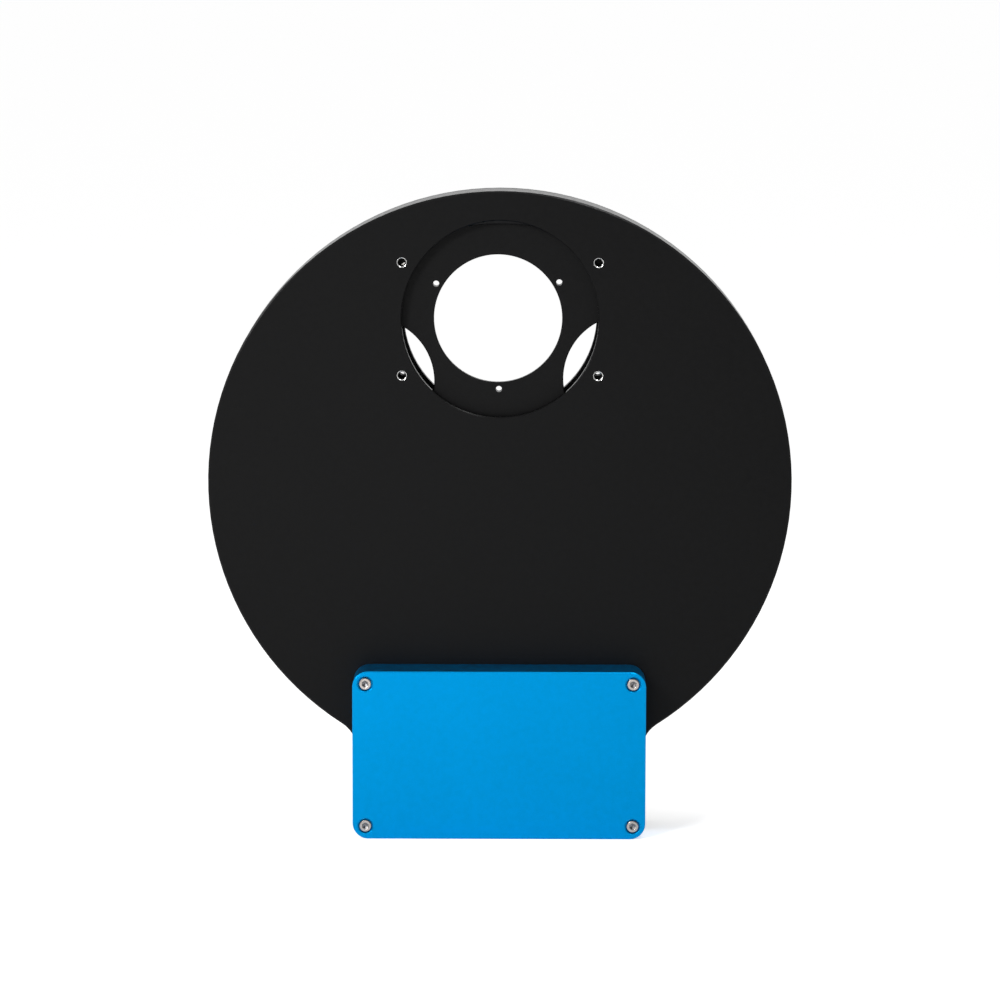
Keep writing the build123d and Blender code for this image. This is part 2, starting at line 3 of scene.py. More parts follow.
import bmesh
import bpy
import numpy as np
from bpy.props import FloatProperty, FloatVectorProperty, IntProperty, PointerProperty
from mathutils import Matrix, Vector


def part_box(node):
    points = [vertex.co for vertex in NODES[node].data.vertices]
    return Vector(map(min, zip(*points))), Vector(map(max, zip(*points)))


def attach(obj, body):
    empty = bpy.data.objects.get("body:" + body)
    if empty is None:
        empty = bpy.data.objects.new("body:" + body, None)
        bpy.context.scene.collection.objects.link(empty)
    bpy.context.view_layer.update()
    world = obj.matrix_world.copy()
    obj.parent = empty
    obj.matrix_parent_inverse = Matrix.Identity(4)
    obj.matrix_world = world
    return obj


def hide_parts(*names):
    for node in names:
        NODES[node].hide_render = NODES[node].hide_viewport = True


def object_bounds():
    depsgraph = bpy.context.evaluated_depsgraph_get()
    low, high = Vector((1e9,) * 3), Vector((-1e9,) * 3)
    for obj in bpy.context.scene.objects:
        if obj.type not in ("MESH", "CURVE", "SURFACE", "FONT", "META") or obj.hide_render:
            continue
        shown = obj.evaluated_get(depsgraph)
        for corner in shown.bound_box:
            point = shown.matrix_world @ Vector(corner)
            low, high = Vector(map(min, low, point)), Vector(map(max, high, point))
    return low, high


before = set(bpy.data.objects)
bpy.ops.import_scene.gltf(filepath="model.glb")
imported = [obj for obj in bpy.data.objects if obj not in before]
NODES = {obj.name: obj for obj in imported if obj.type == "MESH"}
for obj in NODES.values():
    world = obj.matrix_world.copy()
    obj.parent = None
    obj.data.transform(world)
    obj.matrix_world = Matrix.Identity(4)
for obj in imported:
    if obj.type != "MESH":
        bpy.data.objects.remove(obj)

bl_info = {
    "name": "Filter Wheel Finish",
    "version": (1, 0, 0),
    "blender": (4, 5, 0),
    "location": "3D View > Sidebar > Filter Wheel",
    "description": "Finishes, threads and screws for a motorised filter wheel, with its stage",
    "category": "Object",
}

CAD_BOX = [list(corner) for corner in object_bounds()]
CARRIERS = [name for name in NODES if name.startswith("filter_car")]
FRONT = 0.0  # the body's front face, along Y
BACK = CAD_BOX[1][1]
FOOT = CAD_BOX[0][2]

# Colours of the pieces that have no setting of their own.
BLACKENED_STEEL = 0.03, 0.03, 0.032
GEAR_BLACK = 0.02, 0.02, 0.021
NICKEL = 0.62, 0.60, 0.56
BEARING_STEEL = 0.66, 0.66, 0.67
POST_STEEL = 0.56, 0.56, 0.57
SHAFT_STEEL = 0.60, 0.60, 0.60
SHEET_STEEL = 0.56, 0.56, 0.55
CAGE_BRASS = 0.60, 0.40, 0.14
TURNED_BRASS = 0.62, 0.43, 0.16
MOTOR_PAINT = 0.016, 0.016, 0.018
CHIP_BLACK = 0.018, 0.018, 0.019
NYLON = 0.72, 0.69, 0.60
TINNED_SHELL = 0.64, 0.63, 0.60

# Blasted and anodised metal.
ANODISED_GLOSS = 0.11  # specular level of black anodising
COARSE_DIMPLES = 7  # width of the coarse dimples, in fine ones
COARSE_SHARE = 0.8  # of the coarse dimples in the tone
GRAIN_LIMITS = 0.65, 1.15  # of the sum of both, where the tone is darkest and lightest
DYE_CLOUD = 0.045  # width of the clouds in the dye
CLOUD_TONES = 0.95, 1.05  # the darkest and lightest cloud
BLASTED_SWING = 0.05  # of the roughness
FACE_SHARE = 0.6, 0.99  # how square to Y a surface is where walls end and where faces begin
WALL_BUMP = 0.25  # how much of the dimples' strength is left on the walls

# Turned metal.
RING_STRETCH = 1.0, 40.0, 1.0  # squeezes noise along Y into a lathe's rings
STREAK_WIDTH = 30  # in grooves
STREAK_TONES = 0.88, 1.06  # the darkest and lightest streak
STREAK_SWING = -0.06, 0.08  # of the roughness
GROOVE_SHARE = 0.3  # of the fine grooves in the relief
GROOVE_DEPTH = 0.08  # in grooves
SOCKET_SHADE = 12  # how much lighter the painted shade in a socket is than a dark thread

METAL_BUMP = 0.3  # strength of the relief, on blasted and turned metal alike

# Moulded plastic.
TOOL_TEXTURE = 0.00025  # width of the dimples left by the tool
PLASTIC_CLOUD = 0.006  # width of the clouds in the colour
PLASTIC_SWING = 0.06  # of the roughness
PLASTIC_GLOSS = 0.4
PLASTIC_BUMP = 0.25, 0.00001  # strength and depth

# Circuit boards.
CELL_WIDTH = 3.2  # in tracks
TRACK_FOLD = 0.11  # where the distance from a cell's middle turns back
TRACK_LIMITS = 0.045, 0.065  # of the folded distance, where laminate ends and where a track begins
TRACK_TONES = 0.75, 1.45  # laminate and track
TRACK_ROUGHNESS = 0.28, 0.36
TRACK_BUMP = 0.5, 0.00003  # strength and depth

# Tapped holes.
SLEEVE = 48, 52  # points round a hole and along its thread
MOUTH = 4  # columns of points in its chamfer
MOUTH_STEPS = 0.45, 0.9  # how far down the chamfer its inner columns stand
SLEEVE_BACK = 2  # columns of points behind its thread
SKIN = 0.00002  # from the bore to the sleeve in it
BACK_SKIN = 0.4  # the same behind the thread, as a share
THREAD_RIDGE = 0.00014
RUN_IN = 0.4  # of a pitch, in which the ridge rises

# Socket head screws of the motor cover.
HEAD_HEIGHT = 0.0025
HEAD_WALL = 0.00045  # from the top to where the knurls begin
HEAD_FOOT = 0.0002  # from where the knurls end to the seat
FOOT_INSET = 0.0001
KNURL_POINTS = 4  # points round each knurl
KNURL_DEPTH = 0.00005
RIM_RADIUS = 0.00032  # of the rounded edge of the head
RIM_COLUMNS = 5
SOCKET_SHARE = 0.55  # the socket's depth as a share of the head's height
SOCKET_COLUMNS = 3  # columns of faces in the socket
DRILL_DEPTH = 0.0002  # of the cone in the socket's floor
DRILL_SHARE = 0.6  # its radius, in the socket's
FLOOR_RISE = 0.00015  # of the floor at the socket's wall
SINK_DEPTH = 0.00022  # of the countersink round the socket
SINK_WIDTH = 0.00016
SINK_LIP = 0.00005
SINK_REACH = 1.12  # its radius on top, in that of the socket's corners
SHANK_PLAIN = 0.0006  # from the seat to the thread
SCREW_PITCH = 0.00045
SCREW_RIDGE = 0.00016
THREAD_STEPS = 4  # columns of points to each pitch
TIP_SHARE = 0.8  # the tip's radius, in the thread's

# Stage: each lamp's name, place from the middle of the wheel, width and the setting that holds its power.
MIDDLE = 0, 0, -0.07
LAMPS = (
    ("key_lamp", (-0.66, -0.95, 0.62), 0.35, "key"),
    ("front_lamp", (-0.07, -0.75, -0.02), 0.2, "sheen"),
    ("overhead_lamp", (0.26, -0.03, 0.72), 0.12, "above"),
    ("side_lamp", (-0.66, -0.03, 0.36), 0.12, "side"),
)
ROOM_LIGHT = 0.5  # strength of the room on matte surfaces
ROOM_DIM = 0.15  # strength of the room in mirrors, on the camera's side
ROOM_TURN = -0.75, -0.15  # along Y, from where the room is dim to where it is white
FLOOR_TONE = 0.9
FLOOR_GLOW = 0.54
FLOOR_GLOW_CUT = -0.40  # what mirrors see less of that glow
FLOOR_HALF = 12.0
SENSOR = 36  # width of the camera's, in millimetres
CLIP = 0.05, 50

MERGED = 1e-7  # points of a mesh that are closer than this become one


# ---------------------------------------------------------------- settings


class FinishSettings(bpy.types.PropertyGroup):
    """Colours of the finishes."""

    black: FloatVectorProperty(
        name="Black anodising", description="Colour of the body", subtype="COLOR",
        size=3, min=0, max=1, default=(0.0040, 0.0040, 0.0042))
    carousel_black: FloatVectorProperty(
        name="Carousel anodising", description="Colour of the carousel", subtype="COLOR",
        size=3, min=0, max=1, default=(0.0048, 0.0048, 0.0050))
    blue: FloatVectorProperty(
        name="Blue anodising", description="Colour of the motor cover", subtype="COLOR",
        size=3, min=0, max=1, default=(0.0006, 0.293, 0.668))
    steel: FloatVectorProperty(
        name="Stainless steel", description="Colour of the plain screws", subtype="COLOR",
        size=3, min=0, max=1, default=(0.50, 0.46, 0.43))
    # The painted shade in the cover screws' sockets is this colour made lighter by SOCKET_SHADE.
    cut: FloatVectorProperty(
        name="Dark thread", description="Colour of the anodised threads and of deep sockets", subtype="COLOR",
        size=3, min=0, max=1, default=(0.020, 0.020, 0.021))
    bare: FloatVectorProperty(
        name="Bare aluminium", description="Colour of the countersunk mouths", subtype="COLOR",
        size=3, min=0, max=1, default=(0.80, 0.80, 0.79))
    board: FloatVectorProperty(
        name="Solder mask", description="Colour of the circuit boards", subtype="COLOR",
        size=3, min=0, max=1, default=(0.010, 0.085, 0.030))
    roughness: FloatProperty(
        name="Blasted roughness", description="Roughness of the bead blasted metal",
        subtype="FACTOR", min=0, max=1, default=0.46)
    grain: FloatProperty(
        name="Blasting grain", description="Size of the dimples left by blasting",
        unit="LENGTH", min=0.00005, max=0.002, default=0.00032)


class ThreadSettings(bpy.types.PropertyGroup):
    """Sizes of the threads in the tapped holes."""

    across: FloatProperty(
        name="Across", description="Distance between the left and right holes",
        unit="LENGTH", default=0.07349)
    upward: FloatProperty(
        name="Upward", description="Distance between the lower and upper holes",
        unit="LENGTH", default=0.04243)
    bore: FloatProperty(
        name="Bore", description="Radius of the hole in the plate",
        unit="LENGTH", default=0.0015)
    mouth: FloatProperty(
        name="Mouth", description="Width of the chamfer round the hole",
        unit="LENGTH", default=0.00035)
    pitch: FloatProperty(
        name="Pitch", description="Thread pitch", unit="LENGTH", default=0.0005)
    depth: FloatProperty(
        name="Depth", description="Depth of the thread below the face",
        unit="LENGTH", default=0.0029)


class ScrewSettings(bpy.types.PropertyGroup):
    """Sizes of the socket head screws in the motor cover."""

    head: FloatProperty(name="Head radius", description="Radius of the head", unit="LENGTH", default=0.00225)
    thread: FloatProperty(name="Thread radius", description="Radius of the thread", unit="LENGTH", default=0.00125)
    flats: FloatProperty(name="Socket", description="Width across the socket's flats", unit="LENGTH", default=0.0020)
    knurls: IntProperty(name="Knurls", description="Knurls round the head", min=12, default=36)


class StageSettings(bpy.types.PropertyGroup):
    """Camera and lamps."""

    eye: FloatVectorProperty(
        name="Camera place", description="Where the camera stands", subtype="TRANSLATION",
        unit="LENGTH", size=3, default=(0.011542, -1.689518, 0.167003))
    aim: FloatVectorProperty(
        name="Aim", description="The point that the camera looks at", subtype="TRANSLATION",
        unit="LENGTH", size=3, default=(0.0, 0.0, -0.066))
    turn: FloatVectorProperty(
        name="Turn", description="Small yaw, pitch and roll of the camera, in degrees",
        size=3, default=(0.003, -0.069, 0.103))
    lens: FloatProperty(name="Lens", description="Focal length in millimetres", default=163.5, min=1)
    key: FloatProperty(name="Key lamp", description="Power of the key lamp in watts", default=9.0, min=0)
    above: FloatProperty(name="Overhead lamp", description="Power of the lamp above the wheel", default=1.0, min=0)
    sheen: FloatProperty(name="Front lamp", description="Power of the lamp mirrored in the face", default=0.32, min=0)
    side: FloatProperty(name="Side lamp", description="Power of the lamp beside the wheel", default=0.8, min=0)


# ---------------------------------------------------------------- materials


def new_material(name):
    """An empty node material with its output, its surface shader and its Object coordinates."""
    mat = bpy.data.materials.new(name)
    mat.use_nodes = True
    tree = mat.node_tree
    tree.nodes.clear()
    out = tree.nodes.new("ShaderNodeOutputMaterial")
    skin = tree.nodes.new("ShaderNodeBsdfPrincipled")
    where = tree.nodes.new("ShaderNodeTexCoord")
    tree.links.new(skin.outputs["BSDF"], out.inputs["Surface"])
    return mat, tree, skin, where.outputs["Object"]


def noise(tree, vector, size, detail=2.0, roughness=0.5):
    """Noise whose features are about size metres wide."""
    node = tree.nodes.new("ShaderNodeTexNoise")
    node.inputs["Scale"].default_value = 1.0 / size
    node.inputs["Detail"].default_value = detail
    node.inputs["Roughness"].default_value = roughness
    tree.links.new(vector, node.inputs["Vector"])
    return node.outputs["Fac"]


def spread(tree, value, low, high, from_low=0.3, from_high=0.7):
    """Maps a noise value onto a range."""
    node = tree.nodes.new("ShaderNodeMapRange")
    for key, number in (("From Min", from_low), ("From Max", from_high), ("To Min", low), ("To Max", high)):
        node.inputs[key].default_value = number
    tree.links.new(value, node.inputs["Value"])
    return node.outputs["Result"]


def two_tone(tree, factor, dark, light):
    """Colour between two tones."""
    node = tree.nodes.new("ShaderNodeMix")
    node.data_type = "RGBA"
    node.inputs["A"].default_value = (*dark, 1)
    node.inputs["B"].default_value = (*light, 1)
    tree.links.new(factor, node.inputs["Factor"])
    return node.outputs["Result"]


def bumped(tree, skin, height, strength, distance, share=None):
    """Feeds a height to the shader's normal, more weakly where the share is low."""
    node = tree.nodes.new("ShaderNodeBump")
    node.inputs["Strength"].default_value = strength
    if share is not None:
        tree.links.new(spread(tree, share, strength * WALL_BUMP, strength, *FACE_SHARE), node.inputs["Strength"])
    node.inputs["Distance"].default_value = distance
    tree.links.new(height, node.inputs["Height"])
    tree.links.new(node.outputs["Normal"], skin.inputs["Normal"])


def summed(tree, first, second, share):
    """first plus share times second."""
    node = tree.nodes.new("ShaderNodeMath")
    node.operation = "MULTIPLY_ADD"
    node.inputs[1].default_value = share
    tree.links.new(second, node.inputs[0])
    tree.links.new(first, node.inputs[2])
    return node.outputs[0]


def facing(tree):
    """1 on faces square to Y, 0 on walls along it."""
    shape = tree.nodes.new("ShaderNodeNewGeometry")
    split = tree.nodes.new("ShaderNodeSeparateXYZ")
    size = tree.nodes.new("ShaderNodeMath")
    size.operation = "ABSOLUTE"
    tree.links.new(shape.outputs["Normal"], split.inputs["Vector"])
    tree.links.new(split.outputs["Y"], size.inputs[0])
    return size.outputs[0]


def blasted_metal(name, colour, roughness, grain, metal=1.0, gloss=0.5, edge=0.3, uneven=0.06, depth=0.05):
    """Bead blasted and anodised metal: fine dimples, faint blotches from the dye, and smoother cut edges."""
    mat, tree, skin, where = new_material(name)
    fine = noise(tree, where, grain, 2.0, 0.6)
    coarse = noise(tree, where, grain * COARSE_DIMPLES, 3.0, 0.55)
    cloud = noise(tree, where, DYE_CLOUD, 2.0, 0.5)
    tone = spread(tree, summed(tree, fine, coarse, COARSE_SHARE), 0, 1, *GRAIN_LIMITS)
    base = Vector(colour)
    grained = two_tone(tree, tone, base * (1 - uneven), base * (1 + uneven))
    clouded = tree.nodes.new("ShaderNodeMix")
    clouded.data_type = "RGBA"
    clouded.blend_type = "MULTIPLY"
    clouded.inputs["Factor"].default_value = 1.0
    tree.links.new(grained, clouded.inputs["A"])
    darker, lighter = CLOUD_TONES
    tree.links.new(two_tone(tree, cloud, (darker,) * 3, (lighter,) * 3), clouded.inputs["B"])
    tree.links.new(clouded.outputs["Result"], skin.inputs["Base Color"])
    rough = spread(tree, coarse, roughness - BLASTED_SWING, roughness + BLASTED_SWING)
    smoother = spread(tree, facing(tree), edge - roughness, 0, *FACE_SHARE)
    tree.links.new(summed(tree, rough, smoother, 1.0), skin.inputs["Roughness"])
    skin.inputs["Metallic"].default_value = metal
    skin.inputs["Specular IOR Level"].default_value = gloss
    bumped(tree, skin, fine, METAL_BUMP, grain * depth, facing(tree))
    return mat


def turned_metal(name, colour, roughness, centre=(0, 0, 0), groove=0.00012):
    """Metal turned on a lathe: fine rings square to Y, with streaks in its gloss."""
    mat, tree, skin, where = new_material(name)
    move = tree.nodes.new("ShaderNodeMapping")
    move.inputs["Location"].default_value = [-c for c in centre]
    tree.links.new(where, move.inputs["Vector"])
    squeeze = tree.nodes.new("ShaderNodeMapping")
    squeeze.inputs["Scale"].default_value = RING_STRETCH
    tree.links.new(move.outputs["Vector"], squeeze.inputs["Vector"])
    streak = noise(tree, squeeze.outputs["Vector"], groove * STREAK_WIDTH, 3.0, 0.6)
    fine = noise(tree, where, groove, 1.0, 0.5)
    dark, light = (Vector(colour) * tone for tone in STREAK_TONES)
    tree.links.new(two_tone(tree, spread(tree, streak, 0, 1), dark, light), skin.inputs["Base Color"])
    smooth, rough = (roughness + swing for swing in STREAK_SWING)
    tree.links.new(spread(tree, streak, smooth, rough), skin.inputs["Roughness"])
    skin.inputs["Metallic"].default_value = 1.0
    bumped(tree, skin, summed(tree, streak, fine, GROOVE_SHARE), METAL_BUMP, groove * GROOVE_DEPTH)
    return mat


def moulded_plastic(name, colour, roughness, uneven=0.08):
    """Injection moulded plastic with a fine tool texture."""
    mat, tree, skin, where = new_material(name)
    fine = noise(tree, where, TOOL_TEXTURE, 2.0, 0.6)
    cloud = noise(tree, where, PLASTIC_CLOUD, 2.0, 0.5)
    base = Vector(colour)
    tree.links.new(two_tone(tree, spread(tree, cloud, 0, 1), base * (1 - uneven), base * (1 + uneven)),
                   skin.inputs["Base Color"])
    tree.links.new(spread(tree, fine, roughness - PLASTIC_SWING, roughness + PLASTIC_SWING),
                   skin.inputs["Roughness"])
    skin.inputs["Specular IOR Level"].default_value = PLASTIC_GLOSS
    bumped(tree, skin, fine, *PLASTIC_BUMP)
    return mat


def board_laminate(name, colour, tracks=0.0011):
    """Glass laminate under solder mask, with copper tracks below the mask.

    The tracks are the bands where the folded distance from the middle of a square cell is greatest.
    """
    mat, tree, skin, where = new_material(name)
    cell = tree.nodes.new("ShaderNodeTexVoronoi")
    cell.distance = "MANHATTAN"
    cell.feature = "F1"
    cell.inputs["Scale"].default_value = 1.0 / (tracks * CELL_WIDTH)
    tree.links.new(where, cell.inputs["Vector"])
    lines = tree.nodes.new("ShaderNodeMath")
    lines.operation = "PINGPONG"
    lines.inputs[1].default_value = TRACK_FOLD
    tree.links.new(cell.outputs["Distance"], lines.inputs[0])
    track = spread(tree, lines.outputs[0], 0, 1, *TRACK_LIMITS)
    dark, light = (Vector(colour) * tone for tone in TRACK_TONES)
    tree.links.new(two_tone(tree, track, dark, light), skin.inputs["Base Color"])
    tree.links.new(spread(tree, track, *TRACK_ROUGHNESS, 0, 1), skin.inputs["Roughness"])
    bumped(tree, skin, track, *TRACK_BUMP)
    return mat


def dress(material, *names):
    """Gives CAD nodes a material in every slot."""
    for name in names:
        mesh = NODES[name].data
        if not mesh.materials:
            mesh.materials.append(material)
        for slot in range(len(mesh.materials)):
            mesh.materials[slot] = material


# ---------------------------------------------------------------- surfaces


def make_object(name, points, faces, material, smooth=True, second=None, chosen=None):
    """Object at the origin with these points and faces, its doubles merged and its faces turned outwards.

    The chosen faces take the second material.
    """
    mesh = bpy.data.meshes.new(name)
    mesh.from_pydata(np.asarray(points, float).tolist(), [], np.asarray(faces).tolist())
    if second:
        mesh.polygons.foreach_set("material_index", np.asarray(chosen, np.int32))
    shape = bmesh.new()
    shape.from_mesh(mesh)
    bmesh.ops.remove_doubles(shape, verts=shape.verts, dist=MERGED)
    bmesh.ops.recalc_face_normals(shape, faces=shape.faces)
    shape.to_mesh(mesh)
    shape.free()
    mesh.polygons.foreach_set("use_smooth", np.full(len(mesh.polygons), smooth))
    mesh.materials.append(material)
    if second:
        mesh.materials.append(second)
    obj = bpy.data.objects.new(name, mesh)
    bpy.context.scene.collection.objects.link(obj)
    return obj


def joined(parts):
    """Stacks (points, faces) pairs into one, with the faces renumbered."""
    shift = np.cumsum([0] + [len(p) for p, _ in parts[:-1]])
    return np.vstack([p for p, _ in parts]), np.vstack([f + s for (_, f), s in zip(parts, shift)])


def columns_chosen(turns, columns, first, last, count):
    """1 for the faces between two columns of points of a grid that closes one way, repeated count times."""
    chosen = np.zeros((turns, columns), np.int32)
    chosen[:, first:last] = 1
    return np.tile(chosen.ravel(), count)


def grid_faces(rows, columns, close_u=False, close_v=False):
    """Faces of a grid of rows by columns points."""
    index = np.arange(rows * columns).reshape(rows, columns)
    if close_u:
        index = np.vstack([index, index[:1]])
    if close_v:
        index = np.hstack([index, index[:, :1]])
    return np.stack([index[:-1, :-1], index[1:, :-1], index[1:, 1:], index[:-1, 1:]], -1).reshape(-1, 4)


def tapped_sleeve(x, z, face, inward, s):
    """Thread and chamfer of one tapped hole, as a closed skin inside the bore.

    The inner wall's radius is the bore less a triangle wave of (depth / pitch - turn), so its crests climb one pitch
    a turn. Ahead of it the skin opens along the chamfer's cone, and the outer wall follows the bore a hair inside.
    inward is +1 where the hole runs towards the telescope and -1 where it runs towards the camera.
    """
    turns, steps = SLEEVE
    turn = np.linspace(0, 1, turns, endpoint=False)[:, None]
    along = np.linspace(s.mouth, s.depth, steps)[None, :]
    wave = np.abs(((along / s.pitch - turn) % 1.0) * 2 - 1)
    fade = np.clip((s.depth - along) / s.pitch, 0, 1) * np.clip((along - s.mouth) / (RUN_IN * s.pitch), 0, 1)
    thread = s.bore - SKIN - THREAD_RIDGE * (1 - wave) * fade
    rim = s.bore + s.mouth
    half_way, far = (s.mouth * share for share in MOUTH_STEPS)
    lip_along = np.array([[0, 0, half_way, far]]) + 0 * turn
    lip_r = np.array([[rim + SKIN, rim - SKIN, rim - half_way - SKIN, rim - far - SKIN]]) + 0 * turn
    back_along = np.array([[s.depth, s.mouth]]) + 0 * turn
    back_r = np.array([[s.bore - SKIN * BACK_SKIN] * SLEEVE_BACK]) + 0 * turn
    depth = np.hstack([lip_along, along + 0 * turn, back_along])
    radius = np.hstack([lip_r, thread, back_r])
    angle = 2 * np.pi * turn
    points = np.stack([x + radius * np.cos(angle), face + inward * depth, z + radius * np.sin(angle)], -1)
    return points.reshape(-1, 3), grid_faces(turns, depth.shape[1], True, True)


def socket_screw(x, z, seat, top, tip, s):
    """Socket head screw: knurled head with rounded rim, countersunk hex socket and a helical thread.

    It is a profile of (radius, depth) columns carried round its axis, from the middle of the socket to the tip. The
    head's radius is less by a fine cosine of the turn. The socket's radius is that of a hexagon, flats / 2 over the
    cosine of the angle from the nearest flat. The shank's radius is the thread's less a triangle wave of
    (depth / pitch - turn).
    """
    turns = s.knurls * KNURL_POINTS
    angle = np.linspace(0, 2 * np.pi, turns, endpoint=False)[:, None]
    knurl = KNURL_DEPTH * (0.5 - 0.5 * np.cos(s.knurls * angle))
    hexagon = s.flats / 2 / np.cos((angle + np.pi / 6) % (np.pi / 3) - np.pi / 6)
    floor = top + SOCKET_SHARE * (seat - top)
    columns = [
        (0, floor + DRILL_DEPTH),
        (hexagon * DRILL_SHARE, floor),
        (hexagon, floor - FLOOR_RISE),
        (hexagon, top + SINK_DEPTH),
        (hexagon + SINK_WIDTH, top + SINK_LIP),
        (hexagon.max() * SINK_REACH, top),
    ]
    for bend in np.linspace(0, 1, RIM_COLUMNS) * np.pi / 2:
        columns.append((s.head - RIM_RADIUS + RIM_RADIUS * math.sin(bend), top + RIM_RADIUS * (1 - math.cos(bend))))
    columns += [
        (s.head - knurl, top + HEAD_WALL),
        (s.head - knurl, seat - HEAD_FOOT),
        (s.head - FOOT_INSET, seat),
        (s.thread, seat),
    ]
    for depth in np.arange(seat + SHANK_PLAIN, tip - SCREW_PITCH, SCREW_PITCH / THREAD_STEPS):
        wave = np.abs(((depth / SCREW_PITCH - angle / (2 * np.pi)) % 1.0) * 2 - 1)
        columns.append((s.thread - SCREW_RIDGE * (1 - wave), depth))
    columns += [(s.thread * TIP_SHARE, tip), (0, tip)]
    radius = np.hstack([np.broadcast_to(r, angle.shape) for r, _ in columns])
    depth = np.hstack([np.broadcast_to(d, angle.shape) for _, d in columns])
    points = np.stack([x + radius * np.cos(angle), depth, z + radius * np.sin(angle)], -1)
    return points.reshape(-1, 3), grid_faces(turns, radius.shape[1], True, False)


# ---------------------------------------------------------------- operators


class WHEEL_OT_body(bpy.types.Operator):
    """Finish the body, its rear cover and the rear cover's screws"""

    bl_idname = "wheel.body"
    bl_label = "Body"

    def execute(self, context):
        s = context.scene.wheel_finish
        dress(blasted_metal("black_blasted_anodising", s.black, s.roughness, s.grain, metal=0.0,
                            gloss=ANODISED_GLOSS, edge=0.26, uneven=0.3),
              "front_plate", "body_frame", "rear_cover")
        dress(turned_metal("blackened_screw_steel", BLACKENED_STEEL, 0.35), "rear_cover_screws")
        return {"FINISHED"}


class WHEEL_OT_cover(bpy.types.Operator):
    """Finish the motor cover"""

    bl_idname = "wheel.cover"
    bl_label = "Motor cover"

    def execute(self, context):
        s = context.scene.wheel_finish
        dress(blasted_metal("blue_blasted_anodising", s.blue, s.roughness - 0.04, s.grain, edge=0.40,
                            uneven=0.07), "motor_cover")
        return {"FINISHED"}


class WHEEL_OT_carousel(bpy.types.Operator):
    """Finish the carousel, its gear and its magnets"""

    bl_idname = "wheel.carousel"
    bl_label = "Carousel"

    def execute(self, context):
        s = context.scene.wheel_finish
        dress(blasted_metal("carousel_anodising", s.carousel_black, s.roughness + 0.04, s.grain, metal=0.0,
                            gloss=ANODISED_GLOSS, edge=0.3, uneven=0.25), *CARRIERS, "carousel_hub")
        dress(turned_metal("machined_black_gear", GEAR_BLACK, 0.42), "ring_gear")
        dress(turned_metal("nickel_plate", NICKEL, 0.22), "index_magnets", "home_magnet")
        return {"FINISHED"}


class WHEEL_OT_bearing(bpy.types.Operator):
    """Finish the hub bearing and what clamps it"""

    bl_idname = "wheel.bearing"
    bl_label = "Hub bearing"

    def execute(self, context):
        s = context.scene.wheel_finish
        low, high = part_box("bearing_inner_ring")
        hub = (low + high) / 2
        dress(turned_metal("ground_bearing_steel", BEARING_STEEL, 0.16, centre=hub),
              "bearing_inner_ring", "bearing_outer_ring", "bearing_balls")
        dress(turned_metal("pressed_cage_brass", CAGE_BRASS, 0.34, centre=hub), "bearing_cage")
        dress(turned_metal("ground_post_steel", POST_STEEL, 0.24, centre=hub), "hub_post")
        dress(turned_metal("plain_screw_steel", s.steel, 0.30), "hub_washer", "hub_screw", "carrier_screws",
              "motor_screws", "board_screws", "sensor_screws")
        return {"FINISHED"}


class WHEEL_OT_drive(bpy.types.Operator):
    """Finish the motor and its pinion"""

    bl_idname = "wheel.drive"
    bl_label = "Motor and pinion"

    def execute(self, context):
        dress(blasted_metal("motor_can_paint", MOTOR_PAINT, 0.4, 0.0004, metal=0.0), "motor_body")
        dress(turned_metal("plated_sheet_steel", SHEET_STEEL, 0.32), "motor_flange")
        dress(turned_metal("ground_shaft_steel", SHAFT_STEEL, 0.20), "motor_shaft")
        dress(turned_metal("turned_brass", TURNED_BRASS, 0.26), "drive_pinion", "board_spacers")
        dress(turned_metal("blackened_set_screw", BLACKENED_STEEL, 0.35), "pinion_set_screw")
        return {"FINISHED"}


class WHEEL_OT_electronics(bpy.types.Operator):
    """Finish the boards, their chips and their sockets"""

    bl_idname = "wheel.electronics"
    bl_label = "Electronics"

    def execute(self, context):
        s = context.scene.wheel_finish
        dress(board_laminate("green_solder_mask", s.board), "control_board", "sensor_board")
        dress(moulded_plastic("chip_moulding", CHIP_BLACK, 0.5),
              "controller_chip", "driver_chip", "hall_sensor", "usb_tongue")
        dress(moulded_plastic("nylon_moulding", NYLON, 0.45), "motor_socket", "sensor_socket")
        dress(turned_metal("tinned_shell", TINNED_SHELL, 0.24), "usb_socket")
        return {"FINISHED"}


class WHEEL_OT_threads(bpy.types.Operator):
    """Cut the threads and chamfers of the adapter holes"""

    bl_idname = "wheel.threads"
    bl_label = "Adapter threads"

    def execute(self, context):
        s = context.scene.wheel_threads
        cut = turned_metal("anodised_thread", context.scene.wheel_finish.cut, 0.55)
        bare = turned_metal("bare_countersink", context.scene.wheel_finish.bare, 0.12)
        columns = MOUTH + SLEEVE[1] + SLEEVE_BACK
        places = [(side * s.across / 2, level * s.upward / 2) for side in (-1, 1) for level in (-1, 1)]
        mouths = columns_chosen(SLEEVE[0], columns, 0, MOUTH - 1, len(places))
        for name, face, inward in (("camera_threads", FRONT, 1), ("telescope_threads", BACK, -1)):
            sleeves = [tapped_sleeve(x, z, face, inward, s) for x, z in places]
            made = make_object(name, *joined(sleeves), cut, second=bare, chosen=mouths)
            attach(made, "housing")
        return {"FINISHED"}


